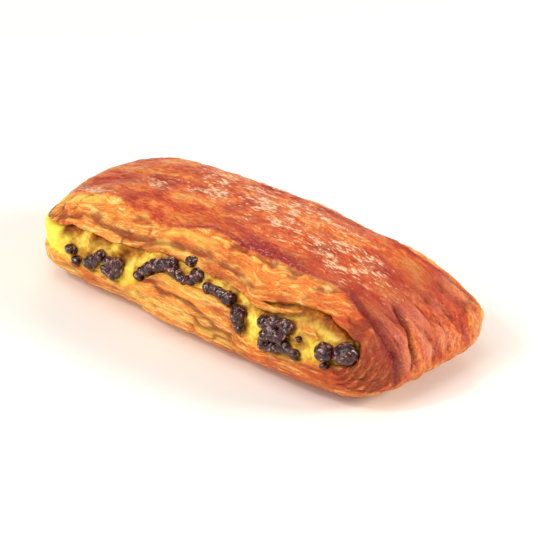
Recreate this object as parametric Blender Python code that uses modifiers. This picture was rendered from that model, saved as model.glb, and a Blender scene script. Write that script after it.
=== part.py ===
"""Pain suisse: a strip of laminated dough folded once round a layer of pastry cream and chocolate drops.

The strip lies along X. Its fold is at +X, and the dough's two leaves are open at -X and along both
long sides, where the sheet was cut: there the pastry cream and the drops show between the leaves.
Metres, +Z up; the origin is the middle of the flat base.
"""

import bmesh
import bpy
import numpy as np

MM = 0.001

# The baked strip.
LENGTH = 150 * MM
WIDTH = 66 * MM
HEIGHT = 35 * MM
WAIST = 14 * MM  # the height at which the strip is widest
PLAN_POWER = 4.6  # superellipse powers: 2 is an ellipse, and a larger one is squarer
CROWN_POWER = 2.26
FOOT_POWER = 3.55
TRAY_FLAT = 0.7 * MM  # how much of the underside the baking tray pressed flat

# The layer of pastry cream between the leaves.
FOLD_X = 64 * MM  # where the filling ends against the inside of the fold
CREAM_RECESS = 1.5 * MM  # the cream lies this far inside the cut sides
GAP = 0.3 * MM  # between pieces that touch
OVERCUT = 6 * MM  # a cutter reaches this far past what it cuts

# Height of the lower leaf's upper edge and of the upper leaf's lower edge, in millimetres, at
# stations along the strip, on the front side, the back side and inside.
FRONT_FLOOR = ((-81, 9.5), (-60, 10.5), (-35, 12), (-24, 13.5), (-17, 20.5), (-5, 22.4),
               (8, 22.4), (17, 21), (22, 14), (32, 11.5), (44, 12.5), (55, 15.5), (64, 17.5))
FRONT_ROOF = ((-81, 13), (-66, 17), (-57, 22), (-48, 24.6), (-35, 25.8), (-15, 27.2),
              (4, 26.6), (22, 25.3), (32, 26.6), (44, 28), (52, 27.4), (64, 22.4))
BACK_FLOOR = ((-81, 10), (-58, 11), (-30, 12.5), (-12, 14), (8, 12.5), (22, 13.5),
              (34, 18.5), (48, 17), (64, 16.5))
BACK_ROOF = ((-81, 14), (-64, 17), (-45, 21.5), (-20, 23.5), (10, 23), (30, 24), (50, 23.5),
             (64, 21.5))
INSIDE_FLOOR = ((-81, 10), (-66, 12), (-40, 14), (64, 14.5))
INSIDE_ROOF = ((-81, 19), (-66, 19), (-40, 20), (64, 20))
INSIDE_SHARE = 0.62  # of the half width; past it the leaves open towards the cut sides

# Chocolate drops on the front: place along the strip, height and radius, in millimetres.
FRONT_DROPS = (
    (-52.4, 15.9, 1.5), (-49.7, 12.9, 1.3), (-42.9, 15.0, 1.9), (-38.5, 18.9, 1.5),
    (-34.3, 18.1, 1.6), (-30.3, 19.2, 1.5), (-32.2, 14.9, 1.6), (-36.0, 15.0, 1.3),
    (-21.6, 18.2, 1.4), (-18.9, 21.0, 1.6), (-15.2, 23.4, 1.9), (-10.5, 24.9, 2.2),
    (-6.4, 23.2, 1.4), (-2.9, 22.6, 1.3), (-3.1, 27.9, 2.1), (0.6, 24.9, 2.2),
    (6.4, 23.3, 1.4), (10.4, 23.5, 1.5), (15.2, 23.0, 2.0), (20.3, 20.4, 2.2),
    (21.2, 15.6, 1.8), (30.4, 20.8, 1.6), (34.4, 22.3, 1.7), (39.4, 22.1, 1.8),
    (32.4, 17.3, 1.7), (37.2, 18.4, 1.8), (31.6, 13.6, 1.4), (35.9, 14.4, 1.6),
    (40.2, 15.8, 1.5), (43.9, 14.9, 1.4), (45.1, 20.1, 1.0), (54.7, 18.1, 3.0),
    (55.5, 13.3, 1.1), (61.0, 19.8, 3.6),
)
BACK_DROPS = (
    (-56.0, 15.0, 1.6), (-50.5, 13.7, 1.3), (-44.0, 17.2, 2.0), (-33.5, 15.8, 1.7),
    (-29.3, 18.8, 1.5), (-21.5, 20.6, 1.9), (-17.4, 17.0, 1.4), (-8.0, 18.4, 2.2),
    (-2.6, 16.6, 1.5), (4.5, 19.6, 1.8), (9.2, 15.8, 1.6), (15.8, 17.9, 2.1),
    (24.6, 19.2, 1.6), (28.6, 21.6, 1.3), (40.8, 21.6, 1.9), (46.3, 20.4, 1.4),
    (53.2, 19.8, 2.2), (58.8, 18.8, 1.6),
)
DROP_SQUASH = (1.0, 0.86, 0.93)  # a drop slumps a little as it bakes
ICOSAHEDRON_REACH = 1.26  # an icosahedron's corner distance over its face distance, rounded up
GOLDEN_TURN = np.pi * (3 - np.sqrt(5))  # turns each drop differently from its neighbours

CRUST_COLOR = (0.62, 0.20, 0.05, 1.0)
CREAM_COLOR = (0.80, 0.52, 0.10, 1.0)
CHOCOLATE_COLOR = (0.055, 0.018, 0.016, 1.0)


def clear_scene():
    for obj in list(bpy.data.objects):
        bpy.data.objects.remove(obj)


def new_collection(name):
    made = bpy.data.collections.new(name)
    bpy.context.scene.collection.children.link(made)
    return made


def material(name, color, roughness):
    made = bpy.data.materials.new(name)
    made.use_nodes = True
    shader = made.node_tree.nodes["Principled BSDF"]
    shader.inputs["Base Color"].default_value = color
    shader.inputs["Roughness"].default_value = roughness
    shader.inputs["Metallic"].default_value = 0.0
    return made


def along(stations, x):
    """The height in metres that a table of stations gives at x, eased from station to station."""
    places, heights = (np.array(column, float) * MM for column in zip(*stations))
    x = float(np.clip(x, places[0], places[-1]))
    left = min(int(np.searchsorted(places, x, side="right")) - 1, len(places) - 2)
    share = (x - places[left]) / (places[left + 1] - places[left])
    ease = share * share * (3 - 2 * share)
    return heights[left] + (heights[left + 1] - heights[left]) * ease


def between_leaves(front, back, inside, x, y):
    """A leaf's height at (x, y): its inside height, opening to the front's or the back's."""
    share = min(1.0, max(0.0, (abs(y) / (WIDTH / 2) - INSIDE_SHARE) / (1 - INSIDE_SHARE)))
    ease = share * share * (3 - 2 * share)
    side = front if y < 0 else back
    return along(inside, x) * (1 - ease) + along(side, x) * ease


def block(name, cells, collection):
    """A cube from -1 to 1 with evenly spaced edge loops, cells[k] cells along each axis."""
    bm = bmesh.new()
    bmesh.ops.create_cube(bm, size=2)
    for axis, count in enumerate(cells):
        normal = [float(k == axis) for k in range(3)]
        for step in range(1, count):
            place = [n * (2 * step / count - 1) for n in normal]
            geometry = bm.verts[:] + bm.edges[:] + bm.faces[:]
            bmesh.ops.bisect_plane(bm, geom=geometry, plane_co=place, plane_no=normal)
    mesh = bpy.data.meshes.new(name)
    bm.to_mesh(mesh)
    bm.free()
    made = bpy.data.objects.new(name, mesh)
    collection.objects.link(made)
    return made


def smoothed(obj, levels):
    modifier = obj.modifiers.new("Smooth form", "SUBSURF")
    modifier.levels = levels
    modifier.render_levels = levels


def baked(obj):
    """Replaces the object's mesh by what its modifiers make of it."""
    bpy.context.view_layer.update()
    graph = bpy.context.evaluated_depsgraph_get()
    mesh = bpy.data.meshes.new_from_object(obj.evaluated_get(graph))
    obj.modifiers.clear()
    obj.data = mesh


def as_helper(obj):
    obj.hide_render = True
    obj.display_type = "WIRE"
    return obj


def strip_form(name, inset, collection):
    """The whole strip's rounded outside, inset all round.

    A point of the block moves along its ray to where plan^p + height^p = 1, in which plan is the
    superellipse distance from the middle, and p is one power above the waist and another below.
    """
    made = block(name, (12, 6, 4), collection)
    for vertex in made.data.vertices:
        x, y, z = vertex.co
        plan = (abs(x) ** PLAN_POWER + abs(y) ** PLAN_POWER) ** (1 / PLAN_POWER)
        power = CROWN_POWER if z > 0 else FOOT_POWER
        reach = (plan**power + abs(z) ** power) ** (1 / power)
        vertex.co = (x / reach, y / reach, z / reach)
    smoothed(made, 1)
    baked(made)
    points = np.array([vertex.co for vertex in made.data.vertices])
    highest, lowest = points.max(axis=0), -points.min(axis=0)
    crown = points[:, 2] > 0
    rise = np.where(crown, HEIGHT - WAIST - inset, WAIST + TRAY_FLAT - inset)
    rise /= np.where(crown, highest[2], lowest[2])
    points[:, 0] *= (LENGTH / 2 - inset) / highest[0]
    points[:, 1] *= (WIDTH / 2 - inset) / highest[1]
    points[:, 2] = np.maximum(points[:, 2] * rise + WAIST, inset)
    for vertex, point in zip(made.data.vertices, points):
        vertex.co = point
    return made


def filling_form(name, inset, collection):
    """The space between the leaves, from past the open end to the fold, inset above and below."""
    made = block(name, (16, 8, 1), collection)
    start = -LENGTH / 2 - OVERCUT
    for vertex in made.data.vertices:
        x, y, z = vertex.co
        x = start + (x + 1) / 2 * (FOLD_X - inset - start)
        y = y * (WIDTH / 2 + OVERCUT)
        if z > 0:
            z = between_leaves(FRONT_ROOF, BACK_ROOF, INSIDE_ROOF, x, y) - inset
        else:
            z = between_leaves(FRONT_FLOOR, BACK_FLOOR, INSIDE_FLOOR, x, y) + inset
        vertex.co = (x, y, z)
    smoothed(made, 1)
    return made


def cut_side(x, z):
    """Half the strip's width at (x, z), from the same formula as strip_form."""
    share = abs(z - WAIST) / (HEIGHT - WAIST if z > WAIST else WAIST + TRAY_FLAT)
    power = CROWN_POWER if z > WAIST else FOOT_POWER
    plan = (1 - share**power) ** (1 / power)
    across = plan**PLAN_POWER - abs(x / (LENGTH / 2)) ** PLAN_POWER
    return WIDTH / 2 * across ** (1 / PLAN_POWER)


def bead(name, number, place, side, radius, detail, collection):
    """A slumped ball, half sunk in the cream of the front (side -1) or the back (side 1)."""
    x, z = place[0] * MM, place[1] * MM
    bm = bmesh.new()
    bmesh.ops.create_icosphere(bm, subdivisions=detail, radius=radius)
    mesh = bpy.data.meshes.new(name)
    bm.to_mesh(mesh)
    bm.free()
    mesh.shade_smooth()
    made = bpy.data.objects.new(name, mesh)
    made.location = (x, side * (cut_side(x, z) - CREAM_RECESS), z)
    made.rotation_euler = (GOLDEN_TURN * number, 0.4, GOLDEN_TURN * number * 0.5)
    made.scale = DROP_SQUASH
    collection.objects.link(made)
    return made


def boolean(obj, operation, other):
    """Cuts the object by another one, or by all the objects of a collection."""
    modifier = obj.modifiers.new(operation.title(), "BOOLEAN")
    modifier.operation = operation
    modifier.solver = "EXACT"
    if isinstance(other, bpy.types.Collection):
        modifier.operand_type = "COLLECTION"
        modifier.collection = other
    else:
        modifier.object = other


def build():
    clear_scene()
    pastry = new_collection("pain_suisse")
    helpers = new_collection("cutters")
    pockets = new_collection("drop_pockets")
    crust = material("egg_washed_dough", CRUST_COLOR, 0.35)
    cream = material("pastry_cream", CREAM_COLOR, 0.45)
    chocolate = material("dark_chocolate", CHOCOLATE_COLOR, 0.3)

    for side_name, side, places in (("front", -1, FRONT_DROPS), ("back", 1, BACK_DROPS)):
        for number, place in enumerate(places, start=1):
            radius = place[2] * MM
            name = f"chocolate_drop_{side_name}_{number:02d}"
            drop = bead(name, number, place, side, radius, 2, pastry)
            drop.data.materials.append(chocolate)
            name = f"pocket_{side_name}_{number:02d}"
            radius = (radius + GAP) * ICOSAHEDRON_REACH
            as_helper(bead(name, number, place, side, radius, 1, pockets))

    custard = strip_form("custard", CREAM_RECESS, pastry)
    custard.data.materials.append(cream)
    layer = as_helper(filling_form("cream_layer", GAP, helpers))
    boolean(custard, "INTERSECT", layer)
    boolean(custard, "DIFFERENCE", pockets)

    dough = strip_form("dough", 0.0, pastry)
    dough.data.materials.append(crust)
    space = as_helper(filling_form("space_between_leaves", 0.0, helpers))
    boolean(dough, "DIFFERENCE", space)
    boolean(dough, "DIFFERENCE", pockets)
    for obj in (custard, dough):
        obj.data.shade_smooth()
        obj.data.set_sharp_from_angle(angle=np.radians(40))


build()
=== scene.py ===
"""A pain suisse, made in Blender as a lesson in cells.

A strip of laminated dough is folded once round pastry cream and chocolate drops, egg-washed and
baked. Every surface is worked out with numpy as a grid of rings and closed at two poles.
"""

# %% [markdown]
# # A pain suisse
#
# The baker rolls out laminated dough, spreads pastry cream and chocolate drops over half of the
# strip, folds the other half over and trims the long sides. So the fold is at one short end, and
# the layers, the cream and the drops show along both cut sides.
#
# The frame holds the real sizes. Everything below is worked out in millimetres in that frame, and
# only the last step turns millimetres into Blender's metres.

import bpy
import numpy as np
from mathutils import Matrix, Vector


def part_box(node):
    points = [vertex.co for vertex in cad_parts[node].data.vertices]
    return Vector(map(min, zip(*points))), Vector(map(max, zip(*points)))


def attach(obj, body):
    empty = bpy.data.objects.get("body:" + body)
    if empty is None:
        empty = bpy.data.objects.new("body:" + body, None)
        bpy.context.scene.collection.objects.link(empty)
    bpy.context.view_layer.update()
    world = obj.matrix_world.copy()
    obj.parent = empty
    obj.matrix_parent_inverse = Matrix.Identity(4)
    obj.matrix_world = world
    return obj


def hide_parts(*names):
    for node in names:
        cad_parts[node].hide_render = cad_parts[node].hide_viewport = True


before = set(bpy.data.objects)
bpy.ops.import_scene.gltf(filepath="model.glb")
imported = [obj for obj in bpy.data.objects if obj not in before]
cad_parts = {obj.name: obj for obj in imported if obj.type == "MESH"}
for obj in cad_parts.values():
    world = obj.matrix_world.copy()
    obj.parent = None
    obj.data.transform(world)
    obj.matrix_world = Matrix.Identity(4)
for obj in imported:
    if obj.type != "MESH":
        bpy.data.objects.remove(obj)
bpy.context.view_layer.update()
MM = 0.001

dough_box = np.array(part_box("dough")) / MM
HALF_LENGTH, HALF_WIDTH, HEIGHT = dough_box[1]
print(f"half length {HALF_LENGTH:.1f}, half width {HALF_WIDTH:.1f}, height {HEIGHT:.1f} mm")

# %% [markdown]
# ## Light and camera
#
# A baked crust looks appetising because it is glossy and rough at once: its highlights are broken
# into flecks. A lamp low behind it and one on the right glance off the top and the round fold and
# draw those flecks. Two broad lamps, in front and overhead, soften the shadows, and a small one
# puts the sharp glints on the chocolate. A weak even light from all round stands for the room.
#
# Lamps and camera stand on directions from the strip, so each is one azimuth, one elevation and a
# distance. The camera is far away with a long lens, so the strip hardly tapers.

# %% Colours, directions and aim
scene = bpy.context.scene
scene.view_settings.view_transform = "Standard"
scene.view_settings.look = "None"


def linear(hex_color):
    """sRGB hex to linear RGBA: c / 12.92 below 0.04045, otherwise ((c + 0.055) / 1.055) ** 2.4."""
    channels = np.array([int(hex_color[k:k + 2], 16) for k in (1, 3, 5)]) / 255
    low_part, high_part = channels / 12.92, ((channels + 0.055) / 1.055) ** 2.4
    return (*np.where(channels <= 0.04045, low_part, high_part), 1.0)


def direction(azimuth, elevation):
    """A unit vector: azimuth 0 points to the front (-Y) and turns towards +X; both in degrees."""
    turn, rise = np.radians(azimuth), np.radians(elevation)
    return np.array([np.sin(turn) * np.cos(rise), -np.cos(turn) * np.cos(rise), np.sin(rise)])


def aim(obj, towards):
    """Turns a camera or lamp at its place to look along a direction, with +Z kept upwards."""
    back = -towards / np.linalg.norm(towards)
    right = np.cross((0, 0, 1), back)
    right /= np.linalg.norm(right)
    up = np.cross(back, right)
    turned = np.eye(4)
    turned[:3, :3] = np.column_stack((right, up, back))
    turned[:3, 3] = obj.location
    obj.matrix_world = turned.T


print("straight behind and level is", direction(180, 0).round(3))

# %% Soft lamps
LAMP_DISTANCE = 1.2  # in metres, like all lamp sizes
LAMPS = (  # name, azimuth, elevation, size, power in watts, colour
    ("window_behind", 218, 33, (0.42, 0.24), 2.2, "#fff0dc"),
    ("window_right", 124, 26, (0.4, 0.34), 11.0, "#fff2ea"),
    ("lamp_front", -8, 36, (0.7, 0.7), 5.5, "#fffaf4"),
    ("lamp_overhead", 10, 72, (0.8, 0.8), 4.0, "#fffaf2"),
    ("lamp_glint", -22, 48, (0.2, 0.2), 3.4, "#fffaf4"),
)
for name, azimuth, elevation, size, power, color in LAMPS:
    lamp = bpy.data.lights.new(name, "AREA")
    lamp.shape = "RECTANGLE"
    lamp.size, lamp.size_y = size
    lamp.energy = power
    lamp.color = linear(color)[:3]
    made = bpy.data.objects.new(name, lamp)
    scene.collection.objects.link(made)
    made.location = direction(azimuth, elevation) * LAMP_DISTANCE
    aim(made, -direction(azimuth, elevation))
print(len(LAMPS), "lamps,", sum(lamp[4] for lamp in LAMPS), "watts in all")

# %% The room's own light
ROOM_LIGHT = 0.36
world = bpy.data.worlds.new("studio")
world.use_nodes = True
background = world.node_tree.nodes["Background"]
background.inputs["Color"].default_value = linear("#fffefc")
background.inputs["Strength"].default_value = ROOM_LIGHT
scene.world = world
print("room light", ROOM_LIGHT)

# %% Camera
CAMERA_AZIMUTH, CAMERA_ELEVATION = 41.8, 29.2
CAMERA_DISTANCE = 1.355
LENS = 282.8  # focal length in millimetres
FRAMING = (0.0042, 0.0130)  # how far right and up of the strip's base the view is centred

camera_data = bpy.data.cameras.new("camera")
camera_data.lens = LENS
camera_data.clip_end = 10.0
camera = bpy.data.objects.new("camera", camera_data)
scene.collection.objects.link(camera)
view_line = direction(CAMERA_AZIMUTH, CAMERA_ELEVATION)
view_right = np.array([np.cos(np.radians(CAMERA_AZIMUTH)), np.sin(np.radians(CAMERA_AZIMUTH)), 0])
view_up = np.cross(view_line, view_right)
camera.location = view_line * CAMERA_DISTANCE + view_right * FRAMING[0] + view_up * FRAMING[1]
aim(camera, -view_line)
scene.camera = camera
print(f"camera at {CAMERA_DISTANCE} m, lens {LENS} mm")

# %% [markdown]
# ## Helpers for surfaces
#
# Three small tools make every piece. `noise` gives smooth random numbers in space, `along` draws a
# smooth curve through a few given stations, and `closed_skin` turns a stack of rings into a
# closed mesh, with each end ring closed at a pole. A ring can be a slice of dough, the outline of
# the cream or a circle of latitude on a drop, so one tool serves them all.


# %% Noise and curves
def smooth(start, end, value):
    """0 before start, 1 after end, and 3t^2 - 2t^3 between them."""
    share = np.clip((value - start) / (end - start), 0, 1)
    return share * share * (3 - 2 * share)


def scattered(cells, seed):
    """A fixed random-looking number from -1 to 1 for each whole-number place."""
    mixed = cells @ np.array([127.1, 311.7, 74.7]) + seed * 19.19
    return 2 * ((np.sin(mixed) * 43758.5453) % 1) - 1


def noise(place, cell, seed):
    """Value noise from -1 to 1: a random number at each cell's corners, eased between them."""
    at = place / np.array(cell, float)
    corner_low = np.floor(at)
    share = at - corner_low
    ease = share * share * (3 - 2 * share)
    total = 0.0
    for corner in np.ndindex(2, 2, 2):
        weight = np.prod(np.where(corner, ease, 1 - ease), axis=-1)
        total = total + weight * scattered(corner_low + corner, seed)
    return total


def creased(place, cell, seed):
    """Sharp valleys between rounded swellings: the noise's distance from zero, 0 in a valley."""
    return np.abs(noise(place, cell, seed))


def along(stations, x):
    """A smooth curve through (place, value) stations: cubic pieces with averaged slopes."""
    places, values = np.array(stations, float).T
    slopes = np.gradient(values, places)
    x = np.clip(x, places[0], places[-1])
    left = np.clip(np.searchsorted(places, x, side="right") - 1, 0, len(places) - 2)
    width = places[left + 1] - places[left]
    t = (x - places[left]) / width
    rise = values[left + 1] - values[left]
    start, end = slopes[left] * width, slopes[left + 1] * width
    return values[left] + t * (start + t * ((3 * rise - 2 * start - end) + t * (start + end - 2 * rise)))


print("a curve through three stations, at 1.5:", along(((0, 0), (1, 1), (2, 0)), 1.5))

# %% From rings to a closed mesh
def closed_skin(name, rings, material, nodes, values=None):
    """A closed mesh from rings of points in mm, shape (rings, points, 3), joined side by side.

    The first and last ring are each closed with a fan to their middle. values holds one array a
    vertex attribute, shape (rings, points) or (rings, points, 3).
    """
    count, around = rings.shape[:2]
    poles = rings[[0, -1]].mean(axis=1)
    points = np.concatenate((rings.reshape(-1, 3), poles)) * MM
    index = np.arange(count * around).reshape(count, around)
    step = np.roll(index, -1, axis=1)
    quads = np.stack((index[:-1], step[:-1], step[1:], index[1:]), axis=-1).reshape(-1, 4)
    first = np.stack((step[0], index[0], np.full(around, count * around)), axis=-1)
    last = np.stack((index[-1], step[-1], np.full(around, count * around + 1)), axis=-1)
    triangles = np.concatenate((quads[:, [0, 1, 2]], quads[:, [0, 2, 3]], first, last))
    a, b, c = (points[triangles[:, k]] for k in range(3))
    if np.einsum("ij,ij->", a, np.cross(b, c)) < 0:
        quads, first, last = quads[:, ::-1], first[:, ::-1], last[:, ::-1]
    mesh = bpy.data.meshes.new(name)
    mesh.from_pydata(points, [], [*quads.tolist(), *first.tolist(), *last.tolist()])
    mesh.shade_smooth()
    for key, value in (values or {}).items():
        value = np.concatenate((value.reshape(count * around, -1),
                                value[[0, -1]].mean(axis=1).reshape(2, -1)))
        kind, field = ("FLOAT_VECTOR", "vector") if value.shape[1] == 3 else ("FLOAT", "value")
        mesh.attributes.new(key, kind, "POINT").data.foreach_set(field, value.ravel())
    mesh.materials.append(material)
    made = bpy.data.objects.new(name, mesh)
    scene.collection.objects.link(made)
    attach(made, "root")
    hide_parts(*nodes)
    print(f"{name}: {2 * len(quads) + 2 * around} triangles")


# %% [markdown]
# ## Helpers for finishes
#
# A material is a small tree of nodes that ends in one shader. `node` adds a node of any kind, with
# its settings and links, and hands back one of its outputs, so a finish below reads as a list of
# what it mixes. `fill` gives inputs their values or links, and fills the shader at the end.
#
# Inputs in a tuple go in by their order: a Map Range takes the value, the range it comes from and
# the range it goes to. A Mix node has one set of inputs a kind of value, so its inputs go in by
# number: 0 is the factor, 2 and 3 are two numbers, 6 and 7 are two colours. Its output 2 is the
# mixed colour.
#
# Every pattern is laid out in real millimetres: `patterns` divides the coordinate by the size of
# one cell of the pattern, before noise is read there.


# %% Nodes
def finish(name):
    """A new material's node tree and its shader, with the material itself."""
    made = bpy.data.materials.new(name)
    made.use_nodes = True
    return made, made.node_tree, made.node_tree.nodes["Principled BSDF"]


def fill(made, inputs):
    """Sets or links a node's inputs: a dictionary by name or number, or a tuple in their order."""
    for key, value in inputs.items() if isinstance(inputs, dict) else enumerate(inputs):
        if isinstance(value, bpy.types.NodeSocket):
            made.id_data.links.new(value, made.inputs[key])
        else:
            made.inputs[key].default_value = value


def node(tree, kind, inputs=(), output=0, stops=(), **settings):
    """Adds a node and gives one output; stops are (position, sRGB hex) pairs of a colour ramp."""
    made = tree.nodes.new(kind)
    for key, value in settings.items():
        setattr(made, key, value)
    if stops:
        elements = made.color_ramp.elements
        while len(elements) < len(stops):
            elements.new(0.5)
        for element, (position, color) in zip(elements, stops):
            element.position = position
            element.color = linear(color)
    fill(made, inputs)
    return made.outputs[output]


def patterns(tree, coordinate, grains):
    """Noise outputs, one a grain: (cell in mm along, across and through, detail, distortion)."""
    made = []
    for cell, detail, distortion in grains:
        scale = tuple(1 / (size * MM) for size in cell)
        placed = node(tree, "ShaderNodeMapping", {"Vector": coordinate, "Scale": scale})
        made.append(node(tree, "ShaderNodeTexNoise", {"Vector": placed, "Scale": 1.0,
                                                      "Detail": detail, "Distortion": distortion}))
    return made


print("white is", linear("#ffffff"), "and middle grey", linear("#808080")[0])

# %% [markdown]
# ## The shape of the strip
#
# The baked strip is a flat pillow: seen from above it is a rounded rectangle, and it swells more
# above its waist than below. A superellipse gives both. With plan = (|x/a|^n + |y/b|^n)^(1/n), a
# point is on the outside where plan^p + |height above the waist / rise|^p = 1.

# %% The pillow's formula
WAIST = 14.0
PLAN_POWER = 4.6
CROWN_POWER, FOOT_POWER = 2.26, 3.55


def fullness(x, y, z):
    """Less than 1 inside the pillow, 1 on its outside and more beyond it."""
    plan = np.abs(x / HALF_LENGTH) ** PLAN_POWER + np.abs(y / HALF_WIDTH) ** PLAN_POWER
    plan = plan ** (1 / PLAN_POWER)
    power = np.where(z > WAIST, CROWN_POWER, FOOT_POWER)
    rise = np.where(z > WAIST, HEIGHT - WAIST, WAIST)
    return plan**power + np.abs((z - WAIST) / rise) ** power


def spread(z):
    """How much of its full plan the pillow keeps at height z."""
    power = np.where(z > WAIST, CROWN_POWER, FOOT_POWER)
    rise = np.where(z > WAIST, HEIGHT - WAIST, WAIST)
    return np.maximum(1 - np.abs((z - WAIST) / rise) ** power, 0) ** (1 / power)


def half_width(x, z):
    """The pillow's half width at (x, z), 0 past its ends."""
    across = spread(z) ** PLAN_POWER - np.abs(x / HALF_LENGTH) ** PLAN_POWER
    return HALF_WIDTH * np.maximum(across, 0) ** (1 / PLAN_POWER)


def reach(center, ray):
    """How far along each ray from its center the pillow's outside lies, by halving 40 times."""
    near, far = np.zeros(ray.shape[:-1]), np.full(ray.shape[:-1], 2 * HALF_LENGTH)
    for _ in range(40):
        middle = (near + far) / 2
        inside = fullness(*np.moveaxis(center + ray * middle[..., None], -1, 0)) < 1
        near, far = np.where(inside, middle, near), np.where(inside, far, middle)
    return (near + far) / 2


print(f"half width at the waist, 60 mm from the middle: {half_width(60.0, WAIST):.1f} mm")

# %% [markdown]
# ## The seam between the two leaves
#
# Along each cut side the leaves gape, and the cream shows between the lower leaf's upper edge (the
# floor) and the upper leaf's lower edge (the roof). On the front the lower leaf bulges up in a lip
# that almost closes the seam in the middle and ends abruptly. Heights are in millimetres.

# %% Floor and roof stations
FRONT_FLOOR = ((-75, 10), (-60, 10.5), (-48, 11.3), (-35, 12), (-27, 12.6), (-21, 16.5), (-16, 20.9),
               (-5, 22.4), (8, 22.4), (16, 21.2), (19.5, 19), (21.5, 15), (25, 12.3), (34, 11.6),
               (44, 12.5), (55, 14.9), (62, 16.8))
FRONT_ROOF = ((-75, 14.2), (-66, 18.0), (-60, 20.6), (-54, 22.6), (-48, 23.6), (-40, 23.9), (-33, 24.2),
              (-25, 25.3), (-15, 26.4), (-5, 26.4), (4, 26.4), (12, 26.4), (18, 25.6), (24, 25.2),
              (30, 26.2), (36, 27.6), (44, 28.1), (50, 27.9), (55, 26.4), (59, 24.8), (62, 23.4))
BACK_FLOOR = ((-75, 10), (-58, 11), (-30, 12.5), (-12, 14), (8, 12.5), (22, 13.5), (34, 18.5), (48, 17),
              (62, 16.5))
BACK_ROOF = ((-75, 14), (-64, 17), (-45, 21.5), (-20, 23.5), (10, 23), (30, 24), (50, 23.5), (62, 21.5))
INSIDE_FLOOR, INSIDE_ROOF = 14.2, 20.0
MOUTH_FLOOR, MOUTH_ROOF = 9.5, 17.8  # at the open end
LEFT_TURN, RIGHT_TURN = -58.0, 62.0  # between these the slices stand square to the strip


def middle_height(x):
    """Halfway between floor and roof, averaged over the two sides."""
    return (along(FRONT_FLOOR, x) + along(FRONT_ROOF, x) + along(BACK_FLOOR, x) + along(BACK_ROOF, x)) / 4


print(f"the seam's middle is {middle_height(0.0):.1f} mm up halfway along")

# %% [markdown]
# ## Slices of dough
#
# The dough is one piece bent like a hairpin: from the open end along the bottom, round the fold and
# back along the top. It is built from slices along that path. Each slice is a half plane that
# starts at a line across the strip and points down, then turns round the fold, then points up.
# At the open end the slices turn as well and shrink to a point, which closes the mesh.
#
# Each vertex keeps a "strip" coordinate: run along the path, place across the strip, and layer, its
# distance from the seam line. Baked dough is streaky along its layers, so all later patterns read
# this coordinate and bend round the fold just as the real layers do.


# %% The path of the slices
def mouth_place(height):
    """Where the dough's open end is at a height: on the pillow's outside, on its middle line."""
    return -HALF_LENGTH * spread(height)


def slice_path(low_fan, bottom, fold, top, high_fan):
    """Centers and pointing angles of the slices; the numbers say how many each stretch gets."""
    center = middle_height(LEFT_TURN)
    low_end = np.arctan2(MOUTH_FLOOR - center, mouth_place(MOUTH_FLOOR) - LEFT_TURN)
    high_end = np.arctan2(MOUTH_ROOF - center, mouth_place(MOUTH_ROOF) - LEFT_TURN)
    x = np.concatenate((
        np.full(low_fan, LEFT_TURN), np.linspace(LEFT_TURN, RIGHT_TURN, bottom),
        np.full(fold, RIGHT_TURN), np.linspace(RIGHT_TURN, LEFT_TURN, top), np.full(high_fan, LEFT_TURN)))
    turn = np.concatenate((
        np.linspace(low_end, -np.pi / 2, low_fan + 1)[:-1], np.full(bottom, -np.pi / 2),
        np.linspace(-np.pi / 2, np.pi / 2, fold + 2)[1:-1],
        np.full(top, np.pi / 2), np.linspace(np.pi / 2, high_end, high_fan + 1)[1:]))
    return x, middle_height(x), turn


x, z, turn = slice_path(low_fan=46, bottom=150, fold=120, top=290, high_fan=60)
print(f"{len(x)} slices, pointing from {np.degrees(turn[0]):.0f} to {np.degrees(turn[-1]):.0f} degrees")

# %% [markdown]
# Each slice ends at the seam, on both sides. Where it ends depends on which way it points: the lower
# leaf ends at the floor and the upper leaf at the roof, and round the fold one eases into the other.


# %% The edges along the seam
def seam_edge(x, z, turn, floor, roof, seed):
    """Each slice's seam edge on one side: its distance along the slice, and its half width.

    On the square slices it is where the floor or the roof is, made ragged by noise. Round the fold
    it eases from one to the other. At the open end the edge runs straight from the last square
    slice to the mouth, so its distance is gap / (|sin| + slope * |cos|) of the slice's angle.
    """
    upward, sideways = np.sin(turn), np.cos(turn)
    torn = np.stack((x, 9 * upward, 0 * x), axis=-1)
    torn = 0.35 * noise(torn, (5.5, 5, 5), seed) + 0.2 * noise(torn, (1.5, 5, 5), seed + 1)
    down, up = z - along(floor, x), along(roof, x) - z
    share = (upward + 1) / 2
    distance = down * (1 - share) + up * share + torn
    low_slope = (MOUTH_FLOOR - along(floor, LEFT_TURN)) / (mouth_place(MOUTH_FLOOR) - LEFT_TURN)
    high_slope = (MOUTH_ROOF - along(roof, LEFT_TURN)) / (mouth_place(MOUTH_ROOF) - LEFT_TURN)
    slope = np.where(upward < 0, -low_slope, high_slope)
    gap = np.where(upward < 0, down, up) + torn * smooth(0.85, 0.4, -sideways)
    distance = np.where(sideways < -1e-6, gap / (np.abs(upward) + slope * np.abs(sideways)), distance)
    return distance, half_width(x + distance * sideways, z + distance * upward)


front_gap, front_half = seam_edge(x, z, turn, FRONT_FLOOR, FRONT_ROOF, 81)
back_gap, back_half = seam_edge(x, z, turn, BACK_FLOOR, BACK_ROOF, 83)
front_half[[0, -1]] = back_half[[0, -1]] = 0.05  # the first and last slice shrink to a point
print(f"leaf edges lie {front_gap.min():.1f} to {front_gap.max():.1f} mm from the seam's middle")

# %% [markdown]
# The outer wall of a slice is found by sending out rays in a fan from the slice's starting line, and
# following each until it meets the pillow's outside. The halving in `reach` finds that place for
# all rays at once.

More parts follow.
